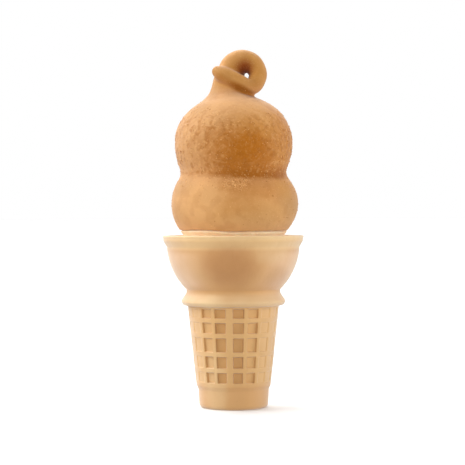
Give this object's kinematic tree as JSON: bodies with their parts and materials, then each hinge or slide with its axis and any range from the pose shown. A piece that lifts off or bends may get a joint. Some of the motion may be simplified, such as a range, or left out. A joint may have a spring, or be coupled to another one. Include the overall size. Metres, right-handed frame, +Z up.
{
  "type": "dipped soft serve ice cream in a flat-bottomed wafer cup",
  "caption": "Soft serve of two round lobes and a looped curl, dipped in a cinnamon sugar shell, standing in a flat-bottomed wafer cup with a waffled stem and a round bowl.",
  "frame": {"origin": "centre of the wafer cup's flat base, on the surface it stands on", "axes": "+Z up along the cup's axis; -Y is the front, where the curl's end crosses; +X is the side its loop leans to"},
  "size_m": [0.0686, 0.0686, 0.1732],
  "materials": {
    "wafer": "baked wafer, dry and matte",
    "soft_serve": "frozen cream, smooth and slightly moist",
    "coating": "set shell with fine cinnamon sugar grain"
  },
  "bodies": {
    "root": {"cake_cone": "wafer", "soft_serve": "soft_serve", "cinnamon_coating": "coating"}
  },
  "joints": []
}
